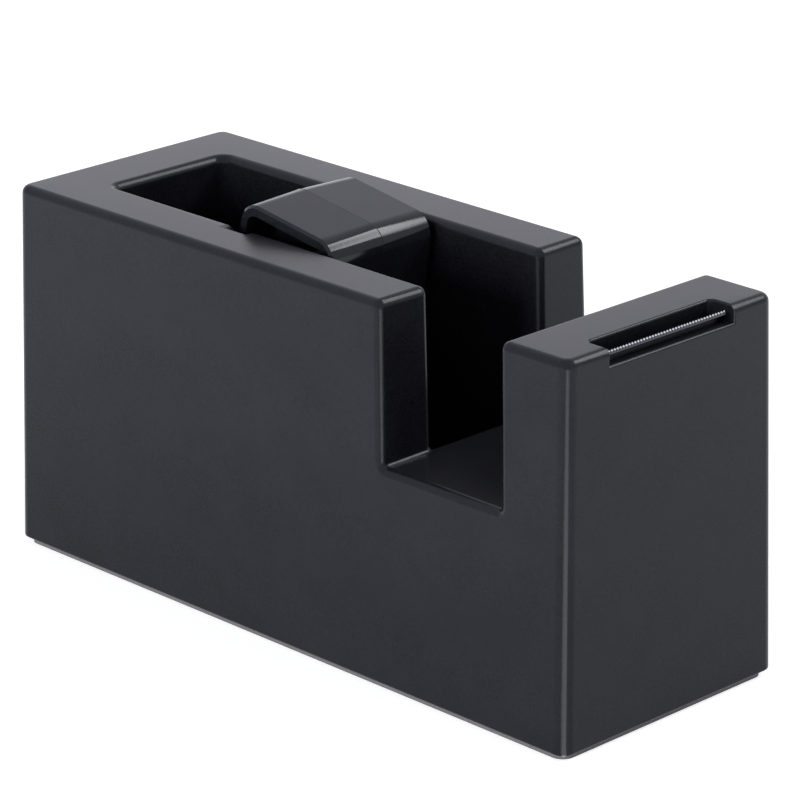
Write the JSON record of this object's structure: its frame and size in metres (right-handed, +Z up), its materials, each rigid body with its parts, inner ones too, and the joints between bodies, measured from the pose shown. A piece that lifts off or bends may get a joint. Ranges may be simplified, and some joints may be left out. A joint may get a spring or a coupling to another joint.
{
  "type": "desk tape dispenser",
  "caption": "Weighted desk tape dispenser: moulded block with an open roll well, a lift-out two-part spool on a steel pin and a toothed cutter blade.",
  "frame": {"origin": "on the desk, under the middle of the block", "axes": "+X along the block towards the cutter, +Z up, +Y across the block"},
  "size_m": [0.12, 0.0456, 0.0636],
  "materials": {
    "shell_plastic": "fine moulded grain, satin",
    "base_plastic": "satin",
    "screw_steel": "zinc plated",
    "pad_rubber": "matt, soft",
    "ballast_steel": "raw, oiled",
    "holder_plastic": "satin",
    "blade_steel": "ground and polished strip",
    "spool_plastic": "fine moulded grain, satin",
    "pin_steel": "drawn bright bar"
  },
  "bodies": {
    "housing": {"body_shell": "shell_plastic", "base_plate": "base_plastic", "base_screws": "screw_steel", "non_slip_pad": "pad_rubber", "ballast_front": "ballast_steel", "ballast_plates": "ballast_steel", "blade_holder": "holder_plastic", "cutter_blade": "blade_steel"},
    "pin": {"spool_pin": "pin_steel"},
    "spool": {"spool_near_half": "spool_plastic", "spool_far_half": "spool_plastic"}
  },
  "joints": [
    {"name": "pin_lift", "type": "slide", "parent": "housing", "child": "pin", "axis": [-0.6652, 0, 0.7466], "range_m": [0, 0.03]},
    {"name": "spool_spin", "type": "hinge", "parent": "pin", "child": "spool", "pos_m": [-0.01068, 0, 0.0521], "axis": [0, 1, 0], "continuous": true}
  ]
}
